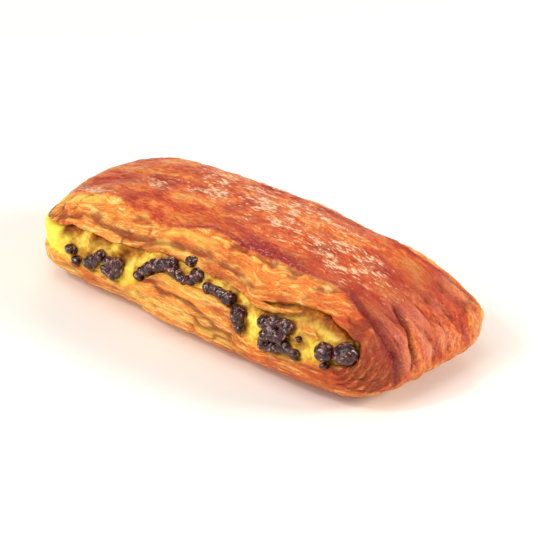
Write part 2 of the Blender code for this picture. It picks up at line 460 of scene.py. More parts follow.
# %% The outer walls
OUTER_ROWS, INNER_ROWS = 118, 26
SECTION_RISE = 16.0  # about how far the outside is from a slice's center
start = np.arctan2(front_gap / SECTION_RISE, front_half / HALF_WIDTH)
end = np.pi - np.arctan2(back_gap / SECTION_RISE, back_half / HALF_WIDTH)
sweep = start[:, None] + (end - start)[:, None] * np.linspace(0, 1, OUTER_ROWS)
across, outward = -np.cos(sweep) * HALF_WIDTH, np.sin(sweep) * SECTION_RISE
pointing = np.stack((np.cos(turn), np.zeros_like(turn), np.sin(turn)), axis=-1)[:, None]
center = np.stack((x, np.zeros_like(x), z), axis=-1)[:, None]
ray = outward[..., None] * pointing + across[..., None] * np.array([0, 1, 0])
ray /= np.linalg.norm(ray, axis=-1, keepdims=True)
outside = center + ray * reach(center, ray)[..., None]

middle_line = outside[:, OUTER_ROWS // 2]
run = np.concatenate(([0], np.cumsum(np.linalg.norm(np.diff(middle_line, axis=0), axis=1))))
print(f"slices: {len(x)}, path along the outside: {run[-1]:.0f} mm")

# %% [markdown]
# The inner wall of each slice runs back from the rear seam edge to the front one. It starts at the
# edges and bends to the thickness that the leaf has deep inside, over a few millimetres.

# %% The inner walls
GAPE_DEPTH = 9.0  # how far in from a cut side the leaves come together
share = np.linspace(0, 1, INNER_ROWS + 2)[1:-1]
share = share - 0.12 * np.sin(2 * np.pi * share)
inner_y = outside[:, -1:, 1] * (1 - share) + outside[:, :1, 1] * share
inner_edge = (back_gap[:, None] * (1 - share) + front_gap[:, None] * share)
deep_gap = np.where(np.sin(turn) < 0, z - INSIDE_FLOOR, INSIDE_ROOF - z)
fold_share = (np.sin(turn) + 1) / 2
round_fold = (z - INSIDE_FLOOR) * (1 - fold_share) + (INSIDE_ROOF - z) * fold_share
at_mouth = np.minimum(deep_gap / np.maximum(np.abs(np.sin(turn)), 0.25), front_gap)
deep_gap = np.where(np.cos(turn) > 1e-6, round_fold, np.where(np.cos(turn) < -1e-6, at_mouth, deep_gap))
depth = np.minimum(inner_y - outside[:, :1, 1], outside[:, -1:, 1] - inner_y)
inward = smooth(0.0, GAPE_DEPTH, depth) * smooth(0.0, GAPE_DEPTH, front_half + back_half)[:, None]
inner_gap = inner_edge * (1 - inward) + deep_gap[:, None] * inward
inside = center + inner_gap[..., None] * pointing + inner_y[..., None] * np.array([0, 1, 0])
rings = np.concatenate((outside, inside), axis=1)

to_center = rings - center
layer = np.einsum("ijk,ijk->ij", to_center, np.broadcast_to(pointing, to_center.shape))
strip = np.stack((np.broadcast_to(run[:, None], layer.shape), rings[..., 1], layer), axis=-1)

print(f"{rings.shape[0]} slices of {rings.shape[1]} points")

# %% [markdown]
# ## Modelling the baked surface
#
# Now the plain pillow is worked like clay. Each effect is a height in millimetres, worked out for
# every point from its place, and their sum is moved along the surface's normal. Bump in a material
# would be quicker, but only real height shows in the outline and casts shadows.
#
# Three shapes make all effects: noise for uneven ground, `bell` for a ridge or groove along a line,
# and `blobs` for single swellings.


# %% Normals, bells and blobs
def ring_normals(rings, center):
    """Unit normals from the cross product of neighbour differences, turned away from center."""
    lengthwise = np.gradient(rings, axis=0)
    roundwise = np.roll(rings, -1, axis=1) - np.roll(rings, 1, axis=1)
    normal = np.cross(lengthwise, roundwise)
    normal /= np.maximum(np.linalg.norm(normal, axis=-1, keepdims=True), 1e-9)
    outward_sum = np.einsum("ijk,ijk->", normal, rings - center)
    return normal if outward_sum > 0 else -normal


def bell(value, width):
    """1 where value is 0, falling off on both sides: exp(-(value / width)^2)."""
    return np.exp(-((value / width) ** 2))


def blobs(points, spots):
    """Adds up bells in space: a spot is (height, middle, size), middle and size in mm."""
    return sum(height * np.exp(-(((points - np.array(middle)) / np.array(size)) ** 2).sum(axis=-1))
               for height, middle, size in spots)


print("a bell one width away from its line:", round(float(bell(1.0, 1.0)), 3))

# %% [markdown]
# Every effect below holds in one zone only, so each point first learns where it lies: on the outer
# wall, away from the seam, on the upper leaf, on the fold. The `meander` coordinate is the strip's
# own, pushed sideways by slow noise, so that patterns read on it wander like real ones.

# %% Where each point lies
is_outer = np.concatenate((np.ones(OUTER_ROWS), np.zeros(INNER_ROWS)))[None, :]
normal = ring_normals(rings, center)
edge_distance = np.minimum(
    np.linalg.norm(rings - rings[:, :1], axis=-1),
    np.linalg.norm(rings - rings[:, OUTER_ROWS - 1:OUTER_ROWS], axis=-1),
)
away_from_seam = smooth(0.3, 2.5, edge_distance) * is_outer
plain_x, plain_y, plain_z = np.moveaxis(rings, -1, 0)
top_leaf = smooth(0.0, 0.4, np.sin(turn))[:, None]
fold_side = smooth(RIGHT_TURN - 8, RIGHT_TURN + 4, plain_x)
fold_face = smooth(-0.95, -0.3, np.sin(turn))[:, None] * fold_side

wander = noise(strip, (24, 18, 18), 11)
meander = strip + np.stack((0 * wander, 1.3 * wander, 0.5 * wander), axis=-1)
broken = 0.5 + 0.5 * noise(strip, (11, 7, 9), 12)
print(f"{(away_from_seam > 0.5).mean():.0%} of the points may move, the rest are at the seam or inside")

# %% [markdown]
# The egg wash goes over the top of the folded strip only. So the crust ends in a ragged line above
# both cut sides, at the open end and low on the fold. The line's stations are (x, y) from above.

# %% The crust's outline
FRONT_CRUST = ((-75, -13), (-68, -13.5), (-60, -15), (-50, -15.8), (-42, -17), (-34, -18.5),
               (-26, -20.3), (-19, -20.5), (-13, -18.5), (-8, -15.6), (0, -15.6), (10, -16.4),
               (18, -16.7), (26, -16), (33, -15.2), (40, -14.8), (47, -14.6), (52, -15.2),
               (58, -16.8), (63, -17.7), (68, -18.7), (75, -20))
BACK_CRUST = ((-75, 22), (-50, 20.5), (-30, 22), (0, 20.8), (25, 22.2), (50, 21), (63, 23), (75, 27))
MOUTH_LIMIT, FOLD_LIMIT = 22.5, 9.0  # the crust's lowest height at the open end and on the fold
FAR_ABOVE = 30  # lifts a limit away where it doesn't hold

ragged = 0.8 * noise(strip, (5, 50, 50), 3) + 0.45 * noise(strip, (1.7, 50, 50), 4)
from_front = plain_y - along(FRONT_CRUST, plain_x) + ragged
from_back = along(BACK_CRUST, plain_x) - plain_y + ragged
from_side = np.minimum(from_front, from_back)
leaf_end = plain_z - MOUTH_LIMIT + 2.5 * noise(strip, (9, 6, 6), 5)
leaf_end += FAR_ABOVE * smooth(-66, -56, plain_x)
fold_foot = plain_z - FOLD_LIMIT + 2.6 * noise(strip, (40, 5, 9), 6) + FAR_ABOVE * (1 - fold_side)
washed = is_outer * (top_leaf + fold_side > 0.02) * smooth(-0.9, -0.5, np.sin(turn))[:, None]
edge_share = washed * smooth(-2, 2, leaf_end) * smooth(-4, 3, fold_foot)
crust = smooth(-0.5, 0.5, from_side) * edge_share
print(f"crust on {(crust > 0.5).mean():.0%} of the points")

# %% [markdown]
# Dough never rises evenly. A few broad swellings and hollows take the pillow out of true: a raised
# left shoulder, a hollow in front of it, and a foot that is tucked in under the front.

# %% Broad swellings and hollows
SWELLINGS = (  # height, middle and size in mm
    (1.4, (-70, 1, 23), (7, 12, 7)), (-1.0, (-69, -18, 24), (7, 8, 8)),
    (1.6, (72, 28, 16), (9, 9, 9)), (-1.2, (62, 27, 26), (9, 8, 7)),
    (-2.3, (-30, -32, 4), (15, 8, 8)), (1.2, (2, -33, 17), (20, 8, 5)),
    (0.6, (-62, -28, 6), (9, 8, 6)), (0.5, (20, 0, 35), (30, 22, 8)),
    (-0.5, (-25, -8, 34), (12, 9, 6)), (-1.3, (-42, 25, 29), (13, 8, 7)),
    (0.9, (6, 25, 30), (11, 8, 7)), (-0.9, (29, 25, 29), (10, 8, 7)),
)
swelling = 0.7 * noise(strip, (30, 20, 20), 13) + 0.3 * noise(strip, (13, 9, 10), 14)
swelling += blobs(rings, SWELLINGS)
print(f"swellings from {swelling.min():.1f} to {swelling.max():.1f} mm")

# %% [markdown]
# A baked crust shrinks as it dries and wrinkles lengthwise, the way the dough was rolled. A wrinkle
# is a bell along the zero line of noise, so it wanders, forks and ends as real ones do. Steam under
# the skin makes blisters between them.

# %% Wrinkles and blisters of the crust
wrinkles = -0.45 * bell(creased(meander, (15, 2.6, 7), 21), 0.15) * broken
wrinkles += -0.24 * bell(creased(meander, (7, 1.7, 5), 22), 0.2) * (1 - 0.6 * broken)
blisters = 0.3 * np.maximum(noise(meander, (6, 2.6, 5), 23), 0)
blisters += 0.15 * noise(meander, (3.4, 1.7, 3), 24)
print(f"deepest wrinkle {-wrinkles.min():.2f} mm, highest blister {blisters.max():.2f} mm")

# %% [markdown]
# Round the fold the same wrinkles are pulled into deep creases that stand upright. One of them runs
# from the foot almost to the top, with a swollen lip beside it. Its stations are (z, y).

# %% Creases round the fold
CREASE = ((10, -11.6), (15.8, -11.1), (20.1, -10.5), (22.9, -8.7), (24.8, -7.6), (28.3, -3.6))
creases = -0.75 * bell(creased(meander, (22, 3.8, 12), 31), 0.13)
creases += -0.5 * bell(creased(meander, (11, 2.1, 8), 32), 0.2)
creases += -0.35 * bell(creased(meander, (9, 1.3, 6), 35), 0.2)
creases += 0.3 * noise(meander, (5, 2.2, 5), 34)
crease_line = plain_y - along(CREASE, plain_z) + 0.6 * noise(strip, (7, 90, 90), 33)
crease_length = smooth(9, 14, plain_z) * smooth(30.5, 27, plain_z)
deep_crease = 0.8 * bell(crease_line - 2.2, 1.5) - 1.7 * bell(crease_line, 0.9)
creases += deep_crease * crease_length
print(f"the deep crease is {-(deep_crease * crease_length).min():.1f} mm deep")

# %% [markdown]
# The cut sides show the layers: fine ridges along the strip, crumbs, and a split here and there.
# Round the end of the fold the layers lie in rings, which a cosine of the distance from the fold's
# middle gives. The lower leaf's lip and the roll of dough above the seam each have a groove.

# %% Layers of the cut sides
RING_STEP = 2.4  # from one ring of layers to the next
RINGS_X, RINGS_Z = 57, 19  # the middle of the rings
LIP_GROOVE_Z = 17.4
ROLL_GROOVE = 3.1  # how far above the roof
strands = 0.30 * noise(meander, (10, 2.4, 1.3), 41) + 0.22 * noise(meander, (4.5, 1.6, 1.0), 42)
crumbs = 0.26 * noise(strip, (3.0, 2.4, 1.9), 45) + 0.14 * noise(strip, (2.2, 1.4, 0.9), 48)
splits = -0.7 * bell(creased(meander, (9, 7, 2.1), 43), 0.1) * smooth(0.4, 0.75, broken)
arc_radius = np.hypot(plain_x - RINGS_X, 1.15 * (plain_z - RINGS_Z))
arcs = 0.5 + 0.5 * np.cos(2 * np.pi * arc_radius / RING_STEP + 2.5 * noise(strip, (14, 6, 6), 69))
arcs = arcs * smooth(53, 60, plain_x) * smooth(-8, -16, plain_y)

lip_line = plain_z - LIP_GROOVE_Z + 0.06 * (plain_x + 8) + 1.1 * noise(strip, (6, 50, 50), 46)
lip_crease = bell(lip_line, 0.8) * smooth(-28, -20, plain_x) * smooth(12, 4, plain_x)
lip_crease = lip_crease * smooth(-24, -30, plain_y)
roll_line = plain_z - along(FRONT_ROOF, plain_x) - ROLL_GROOVE
roll_line += 0.8 * noise(strip, (9, 50, 50), 47)
roll_groove = bell(roll_line, 0.8) * smooth(30, 18, plain_x) * smooth(-8, -14, plain_y)
layers = strands + crumbs + splits - 0.9 * lip_crease - 0.6 * roll_groove + 0.35 * arcs
print(f"layers from {layers.min():.2f} to {layers.max():.2f} mm")

# %% [markdown]
# The crust stands proud of the cut side in a ragged rim and undercuts it a little, because the wash
# stiffened it before the dough had finished rising. At the fold the rim sinks into a groove.

# %% The crust's raised rim
crust_rim = 0.55 * bell(from_side - 0.8, 0.9) * (0.5 + 0.8 * noise(strip, (4, 40, 40), 44))
crust_rim = (crust_rim + 0.2 * smooth(-0.5, 0.5, from_side)) * edge_share
undercut = -0.25 * bell(from_side + 0.9, 0.7) * edge_share
fold_groove = -0.9 * bell(from_side - 1.3, 1.0) * edge_share * smooth(48, 58, plain_x)
fold_groove = fold_groove * smooth(0, -6, plain_y)
print(f"rim up to {crust_rim.max():.2f} mm high, groove {-fold_groove.min():.2f} mm deep")

# %% [markdown]
# The parts are now put where they belong: wrinkles and blisters on the crust, creases on the fold,
# layers on the cut sides, and nothing where the strip lies on the tray.

# %% All heights together
relief = crust * (wrinkles + blisters) * (1 - fold_face) + crust * fold_face * creases
relief += (1 - crust) * layers * smooth(0.5, 3.5, plain_z)
relief += crust_rim + undercut + fold_groove
height = (swelling + relief) * away_from_seam
rings = rings + height[..., None] * normal
print(f"the surface moved {height.min():.1f} to {height.max():.1f} mm")

# %% [markdown]
# The lips of the leaves were cut square and swelled round in the oven, so rows near each seam edge
# are averaged with their neighbours. Last of all the tray: what would reach below it is flat.

# %% Round the lips and press the base flat
ROUNDINGS = 6
for _ in range(ROUNDINGS):
    averaged = (np.roll(rings, 1, axis=1) + 2 * rings + np.roll(rings, -1, axis=1)) / 4
    near_edge = (1 - smooth(0.8, 2.2, edge_distance))[..., None]
    rings = rings * (1 - near_edge) + averaged * near_edge
BASE_ZONE = 0.4  # points lower than this rest on the tray, on a slightly rough underside
tray = np.maximum(0.12 + 0.12 * noise(strip, (3, 3, 30), 51), 0)
rings[..., 2] = np.maximum(rings[..., 2], tray * (rings[..., 2] < BASE_ZONE))
rings[..., 2] = np.maximum(rings[..., 2], 0)
print(f"{(rings[..., 2] < BASE_ZONE).mean():.0%} of the points rest on the tray")

# %% [markdown]
# ## The dough's finish
#
# Three things colour baked dough: how hot that place got, whether it was egg-washed, and its
# relief, whose valleys are painted darker as shade. Highlights and a sheen are painted in too. The
# crust browns to a deep orange red, its raised rim to dark red. The cut sides stay golden, with a
# streak for every layer, and the foot of the strip is palest.
#
# So each vertex carries seven numbers from 0 to 1, one for each way its colour can lean: crust, rim,
# pale, toast, glaze with painted highlights, painted sheen and painted shade in hollows. The nodes
# blend colours by them and add streaks and mottling laid out in the strip coordinate, which bends
# round the fold as the layers do.

# %% [markdown]
# The rim comes first. Egg wash ran to the crust's edge and browned most there, and right of the
# middle a wider band inside the edge went dark with it. On the back it is weaker.

# %% Rim: the darkest line
x_at, y_at, z_at = np.moveaxis(rings, -1, 0)
rim_width = 1.0 + 0.7 * smooth(46, 58, x_at)
rim = bell(from_side - 0.8, rim_width) * edge_share * smooth(-1, 5, fold_foot)
rim *= (0.3 + 0.7 * smooth(-20, -8, x_at)) * (0.8 + 0.5 * noise(strip, (5, 30, 30), 61))
inner_band = smooth(7.5, 3.0, from_side) * smooth(0, 1, from_side)
rim = rim + 0.75 * inner_band * smooth(2, 12, x_at) * smooth(40, 28, x_at)
rim = np.clip(rim * np.where(y_at < 0, 1.0, 0.6), 0, 1)
print(f"rim on {(rim > 0.5).mean():.1%} of the points")

# %% [markdown]
# Pale dough lies where little heat came: at the mouth, low on the fold and inside the seam.

# %% Pale: hardly baked
PALE_SPOTS = ((0.9, (-72, -8, 16), (10, 24, 5)), (1.3, (74, 31, 16), (8, 7, 12)),
              (0.55, (-24, -33, 12), (9, 6, 5)), (0.35, (2, -33, 13), (14, 8, 4)))
front_side = smooth(2, -6, y_at) * (1 - crust)
pale = blobs(rings, PALE_SPOTS) + 0.5 * smooth(8.5, 3.0, z_at) * fold_side
pale += 0.7 * smooth(0.15, 0.65, noise(meander, (9, 5, 2.4), 64)) * front_side * smooth(30, 0, x_at)
pale += 0.5 * (1 - is_outer)
pale = np.clip(pale * (0.8 + 0.5 * noise(strip, (4, 3, 2), 62)), 0, 1)
print(f"pale on {(pale > 0.5).mean():.1%} of the points")

# %% [markdown]
# Toasted dough is deep brown on the cut sides: more towards the fold, in the valleys between the
# rings, and in a ragged streak under the lower leaf's edge. On the crust the same number marks the
# places that browned to a deep red.

# %% Toast: deeply baked
toast = (0.25 + 0.5 * smooth(40, 60, x_at)) * smooth(14, 40, x_at)
toast *= 1 + noise(meander, (10, 5, 2.2), 65)
toast += 0.45 * smooth(9, 5, z_at) * smooth(10, 30, x_at)
toast += 0.5 * smooth(0.3, 0.7, noise(meander, (7, 5, 1.8), 66)) + 0.5 * lip_crease
toast += smooth(53, 60, x_at) * smooth(-8, -18, y_at) * smooth(4, 12, z_at) * (1.35 - 0.75 * arcs)
toast += 0.5 * smooth(14, 10, z_at) * smooth(28, 42, x_at)
toast += blobs(rings, ((0.8, (0, -28, 27), (22, 10, 5)),))

below_lip = z_at - along(FRONT_FLOOR, x_at) + 2.4
lip_streak = bell(below_lip, 1.2) * smooth(-48, -40, x_at) * smooth(22, 8, x_at)
toast += 1.3 * lip_streak * smooth(-10, -20, y_at) * smooth(-0.4, 0.3, noise(strip, (8, 50, 50), 70))

deep_red = blobs(rings, ((0.9, (59, 4, 30), (13, 24, 8)), (0.5, (-50, -2, 32), (9, 6, 8))))
deep_red = deep_red + 0.4 * smooth(9, 5, from_front) * smooth(-30, -12, x_at)
toast = np.clip(toast * (1 - crust) * smooth(0.5, 3, z_at) + deep_red * crust, 0, 1)
print(f"toast on {(toast > 0.5).mean():.1%} of the points")

# %% [markdown]
# One number marks patches of glossy egg wash on the top, where pale flecks are painted in as
# highlights. Another marks a pinkish sheen painted on the fold, which is glossier too. A third marks
# valleys of the relief, between the rings of layers and beside the fold's groove, painted dark as shade.

# %% Glaze with painted highlights, painted sheen and painted shade
# spots of glossy egg wash where highlights are painted in: height, middle and size in mm
HIGHLIGHT_SPOTS = ((1, (14, 3, 35), (27, 10, 9)), (1, (-24, 5, 35), (11, 7, 9)),
               (1, (-42, 0, 34), (8, 5, 9)), (1, (44, -3, 33), (12, 7, 9)),
               (1, (-10, 14, 34), (30, 6, 9)), (1, (-58, -13, 28), (11, 3, 9)))
glaze_and_painted_highlight = blobs(rings, HIGHLIGHT_SPOTS) * (0.9 + 0.8 * noise(strip, (9, 4, 6), 67))
glaze_and_painted_highlight = np.clip(glaze_and_painted_highlight, 0, 1) * crust
# a pinkish sheen painted on the fold; the same number makes the fold glossier
gloss_and_painted_sheen = crust * fold_face * smooth(9, 15, z_at) * (0.6 + 0.8 * noise(meander, (9, 4, 9), 76))
gloss_and_painted_sheen = np.clip(gloss_and_painted_sheen, 0, 1)

# painted shade: darker in the relief's valleys, between the rings and beside the fold's groove
hollow_shade = -relief * (1.6 - 0.9 * crust * (1 - fold_face)) * (1 - 0.5 * fold_face)
shade_between_rings = smooth(57, 62, x_at) * smooth(-14, -22, y_at) * smooth(6, 12, z_at)
hollow_shade = hollow_shade + shade_between_rings * (1.7 - 0.9 * arcs)
groove_shade_stripe = bell(from_side - 1.8, 1.5) * edge_share * smooth(44, 53, x_at) * smooth(0, -6, y_at)
hollow_shade = np.clip(hollow_shade + 1.2 * groove_shade_stripe, 0, 1)
DOUGH_MASKS = {"crust": crust, "rim": rim, "pale": pale, "toast": toast, "glaze_and_painted_highlight": glaze_and_painted_highlight,
               "gloss_and_painted_sheen": gloss_and_painted_sheen, "hollow_shade": hollow_shade}
print({name: f"{mask.mean():.2f}" for name, mask in DOUGH_MASKS.items()})

# %% [markdown]
# ## Egg-washed baked dough
#
# The real finish is laminated dough, brushed with beaten egg and baked. The egg dries to a thin
# clear skin, which gives the eye small broken highlights, and the bare cut sides stay dull. Many of
# those highlights, and the fold's sheen, are painted into the colour as well.
#
# Its patterns run from blotches 17 mm long down to specks. Real specks are a tenth of a millimetre
# across, which wouldn't show, so here the finest cells are 0.7 mm.

# %% Patterns in the dough
baked_dough, dough_tree, shader = finish("egg_washed_baked_dough")
coordinate = node(dough_tree, "ShaderNodeAttribute", output="Vector", attribute_name="strip")
masks = {name: node(dough_tree, "ShaderNodeAttribute", output="Fac", attribute_name=name)
         for name in DOUGH_MASKS}
blotches, flecks, creping, patches, layering, specks = patterns(dough_tree, coordinate, (
    ((17, 8, 8), 4.0, 0.6), ((2.9, 0.85, 0.85), 3.0, 0.9), ((4.5, 0.9, 0.9), 2.0, 1.6),
    ((7.0, 3.0, 3.0), 3.0, 0.8), ((6.5, 2.4, 0.75), 4.0, 1.0), ((1.3, 0.7, 0.7), 3.0, 0.0)))
print(len(dough_tree.nodes), "nodes read and lay out the dough's patterns")

# %% [markdown]
# The crust's colour is a ramp from scorched to light orange over blotches and flecks. Over it lie
# a painted pink sheen, deep red places, pale patches painted as highlights, fine dark lines painted
# as shade in the wrinkles and pale flecks painted as highlights, each mixed in by its own share.

# %% Shares of the crust's tints
bake = node(dough_tree, "ShaderNodeMix", {0: 0.6, 2: flecks, 3: blotches}, data_type="FLOAT")
painted_sheen_share = node(dough_tree, "ShaderNodeMath", (masks["gloss_and_painted_sheen"], 0.55), operation="MULTIPLY")
toast_share = node(dough_tree, "ShaderNodeMath", (masks["toast"], 0.75), operation="MULTIPLY")
patch_share = node(dough_tree, "ShaderNodeMapRange", (patches, 0.42, 0.60, 0.05, 0.6))
painted_highlight_patch = node(dough_tree, "ShaderNodeMath", (masks["glaze_and_painted_highlight"], patch_share), operation="MULTIPLY")

# painted shade: thin dark lines along the fine wrinkle valleys of the crust's bump
off_middle = node(dough_tree, "ShaderNodeMath", (creping, 0.5), operation="SUBTRACT")
off_line = node(dough_tree, "ShaderNodeMath", (off_middle,), operation="ABSOLUTE")
wrinkle_shade_lines = node(dough_tree, "ShaderNodeMapRange", (off_line, 0.0, 0.035, 0.55, 0.0))

# painted highlights: flecks above a level, lower in the glossy patches, turn pale peach
highlight_fleck_level = node(dough_tree, "ShaderNodeMapRange", (painted_highlight_patch, 0.0, 0.5, 0.64, 0.46))
above_level = node(dough_tree, "ShaderNodeMath", (flecks, highlight_fleck_level), operation="SUBTRACT")
highlight_flecks = node(dough_tree, "ShaderNodeMapRange", (above_level, 0.0, 0.06, 0.0, 0.95))
highlight_zone = node(dough_tree, "ShaderNodeMapRange", (masks["glaze_and_painted_highlight"], 0.02, 0.4))
painted_highlight_flecks = node(dough_tree, "ShaderNodeMath", (highlight_flecks, highlight_zone), operation="MULTIPLY")
print(len(dough_tree.nodes), "nodes so far")

# %% [markdown]
# The tints are mixed in one after the other, so a later one lies over the earlier ones, and the
# painted highlight flecks lie over all.

# %% Colours of the crust
crust_color = node(dough_tree, "ShaderNodeValToRGB", (bake,), stops=(
    (0.38, "#a02408"), (0.45, "#c8400e"), (0.51, "#e4621a"), (0.57, "#f48a30"), (0.65, "#fbb260")))
# painted sheen, deep red, painted highlight patches, painted shade lines, painted highlight flecks
CRUST_TINTS = ((painted_sheen_share, "#f4a286"), (toast_share, "#a82a0a"), (painted_highlight_patch, "#f4a870"),
               (wrinkle_shade_lines, "#981c06"), (painted_highlight_flecks, "#fdd2a8"))
for share, tint in CRUST_TINTS:
    crust_color = node(dough_tree, "ShaderNodeMix", {0: share, 6: crust_color, 7: linear(tint)},
                       output=2, data_type="RGBA")
print(len(CRUST_TINTS), "tints over the crust")

# %% [markdown]
# The cut sides run from brown to pale gold over the layers' own noise. Toasting darkens them most
# where that noise is low, and a thin dark line marks where one layer meets the next.

# %% Colours of the cut sides
golden = node(dough_tree, "ShaderNodeMath", (layering, 0.55), operation="MULTIPLY")
for pattern, share in ((blotches, 0.3), (specks, 0.25)):
    golden = node(dough_tree, "ShaderNodeMath", (pattern, share, golden), operation="MULTIPLY_ADD")
side_color = node(dough_tree, "ShaderNodeValToRGB", (golden,), stops=(
    (0.41, "#cc5c1e"), (0.48, "#ea7e2a"), (0.54, "#f89a3c"), (0.60, "#ffb856"), (0.68, "#ffd880")))
in_low_parts = node(dough_tree, "ShaderNodeMapRange", (golden, 0.68, 0.42, 0.45, 1.0))
toasting = node(dough_tree, "ShaderNodeMath", (masks["toast"], in_low_parts), operation="MULTIPLY")
off_layer = node(dough_tree, "ShaderNodeMath", (layering, 0.5), operation="SUBTRACT")
off_layer = node(dough_tree, "ShaderNodeMath", (off_layer,), operation="ABSOLUTE")
layer_lines = node(dough_tree, "ShaderNodeMapRange", (off_layer, 0.0, 0.045, 0.7, 0.0))
for share, tint in ((toasting, "#b8400f"), (layer_lines, "#bc520e")):
    side_color = node(dough_tree, "ShaderNodeMix", {0: share, 6: side_color, 7: linear(tint)},
                      output=2, data_type="RGBA")
print(len(dough_tree.nodes), "nodes so far")

# %% [markdown]
# The crust mask chooses between the two. What both share comes last: the rim with fine pink specks
# painted as highlights, pale dough and painted shade in the hollows.

# %% Crust and cut sides together
base = node(dough_tree, "ShaderNodeMix", {0: masks["crust"], 6: side_color, 7: crust_color},
            output=2, data_type="RGBA")
rim_share = node(dough_tree, "ShaderNodeMapRange", (masks["rim"], 0.15, 0.9, 0.0, 0.9))
# painted highlights: fine pale pink specks on the dark rim
rim_highlight_specks = node(dough_tree, "ShaderNodeMapRange", (specks, 0.56, 0.66, 0.0, 0.6))
rim_highlight_specks = node(dough_tree, "ShaderNodeMath", (rim_highlight_specks, masks["rim"]), operation="MULTIPLY")
pale_share = node(dough_tree, "ShaderNodeMapRange", (masks["pale"], 0.0, 1.0, 0.0, 0.9))
hollow_shade_share = node(dough_tree, "ShaderNodeMapRange", (masks["hollow_shade"], 0.1, 0.9, 0.0, 0.7))
# dark rim, painted highlight specks, pale dough, painted shade in the hollows
DOUGH_TINTS = ((rim_share, "#98080c"), (rim_highlight_specks, "#f0a8a0"), (pale_share, "#fbd65c"),
               (hollow_shade_share, "#761606"))
for share, tint in DOUGH_TINTS:
    base = node(dough_tree, "ShaderNodeMix", {0: share, 6: base, 7: linear(tint)},
                output=2, data_type="RGBA")
print(len(DOUGH_TINTS), "tints over all of the dough")

# %% [markdown]
# Gloss follows the egg: smooth where it is thick, rougher where it is thin, and dull on the bare
# sides. Flecks and fine lines give the crust a skin as bump, and layers and specks a torn crumb.

# %% Gloss and fine relief
egg = node(dough_tree, "ShaderNodeMath", (masks["glaze_and_painted_highlight"], masks["gloss_and_painted_sheen"]), operation="ADD")
gloss = node(dough_tree, "ShaderNodeMapRange", (egg, 0.0, 0.8, 0.31, 0.23))
dull = node(dough_tree, "ShaderNodeMapRange", (specks, 0.3, 0.7, 0.48, 0.66))
roughness = node(dough_tree, "ShaderNodeMix", {0: masks["crust"], 2: dull, 3: gloss}, data_type="FLOAT")

skin = node(dough_tree, "ShaderNodeMath", (flecks, 1.5), operation="MULTIPLY")
skin = node(dough_tree, "ShaderNodeMath", (off_line, 2.5, skin), operation="MULTIPLY_ADD")
crumb = node(dough_tree, "ShaderNodeMath", (layering, 1.5), operation="MULTIPLY")
crumb = node(dough_tree, "ShaderNodeMath", (specks, 0.5, crumb), operation="MULTIPLY_ADD")
fine = node(dough_tree, "ShaderNodeMix", {0: masks["crust"], 2: crumb, 3: skin}, data_type="FLOAT")
FINE_RELIEF = 0.55 * MM
bump = node(dough_tree, "ShaderNodeBump", {"Height": fine, "Strength": 0.9, "Distance": FINE_RELIEF})
fill(shader, {
    "Base Color": base, "Roughness": roughness, "Normal": bump,
    "IOR": 1.45,  # dried egg
    "Specular IOR Level": 0.45, "Subsurface Weight": 0.08,
    "Subsurface Radius": (1.0, 0.45, 0.15), "Subsurface Scale": 1.5 * MM,
})
print(len(dough_tree.nodes), "nodes in the dough's finish")

# %% [markdown]
# ## The hairpin of dough
#
# Shape, masks and finish meet here. The strip coordinate goes into the mesh in metres, because the
# finish lays out its patterns in the same unit as it does for pieces on Object coordinates.

# %% The dough
closed_skin("baked_hairpin_dough", rings, baked_dough, ["dough"],
            {"strip": strip * MM, **DOUGH_MASKS})

# %% [markdown]
# ## Where the chocolate drops are
#
# The frame says where each drop is and how large. The cream comes next and is stained brown round
# each drop, so the places are read first.

# %% Places and sizes of the drops
drop_names = sorted(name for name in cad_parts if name.startswith("chocolate_drop"))
drop_boxes = np.array([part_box(name) for name in drop_names]) / MM
drop_middles = drop_boxes.mean(axis=1)
drop_sizes = (drop_boxes[:, 1] - drop_boxes[:, 0]) / 2
drop_radii = drop_sizes.max(axis=1)
print(f"{len(drop_names)} drops, radius {drop_radii.min():.1f} to {drop_radii.max():.1f} mm")

# %% [markdown]
# ## Pastry cream
#
# The cream is one flat cushion between the leaves, and only its rim shows. Its rings run level
# round the whole cushion: the middle ones make the rim and follow the pillow's sides a few
# millimetres in, and the outer ones close in over its hidden top and under its hidden bottom. It
# boiled a little in the oven, so the rim is lumpy, and it sank away from the roof in places.
#
# First its outline from above: the strip's superellipse, cut off before the fold, with its points
# set evenly along it.

# %% The cushion from above
CREAM_END = 63.0
AROUND, RIM_ROWS, HIDDEN_ROWS = 900, 46, 8
angle = np.linspace(0, 2 * np.pi, 4001)[:-1]
corner = np.abs(np.cos(angle)) ** PLAN_POWER + np.abs(np.sin(angle)) ** PLAN_POWER
corner = corner ** (-1 / PLAN_POWER)
plan = np.stack((np.cos(angle) * corner * HALF_LENGTH, np.sin(angle) * corner * HALF_WIDTH), axis=-1)
plan[:, 0] = np.minimum(plan[:, 0], CREAM_END)
steps = np.linalg.norm(np.diff(plan, axis=0, append=plan[:1]), axis=1)
travelled = np.concatenate(([0], np.cumsum(steps)))
even = np.linspace(0, travelled[-1], AROUND, endpoint=False)
plan_closed = np.vstack((plan, plan[:1]))
plan_x, plan_y = (np.interp(even, travelled, plan_closed[:, k]) for k in (0, 1))
print(f"the cream's outline is {travelled[-1]:.0f} mm round")

# %% [markdown]
# The rim reaches from a little below the floor to a little above the roof, so no gap opens. It lies
# `RECESS` behind the pillow's side, and near the roof it falls back by `ROOF_RECESS`, which leaves
# dark hollows under the upper leaf. Both are stations (x, how far in) along the strip.

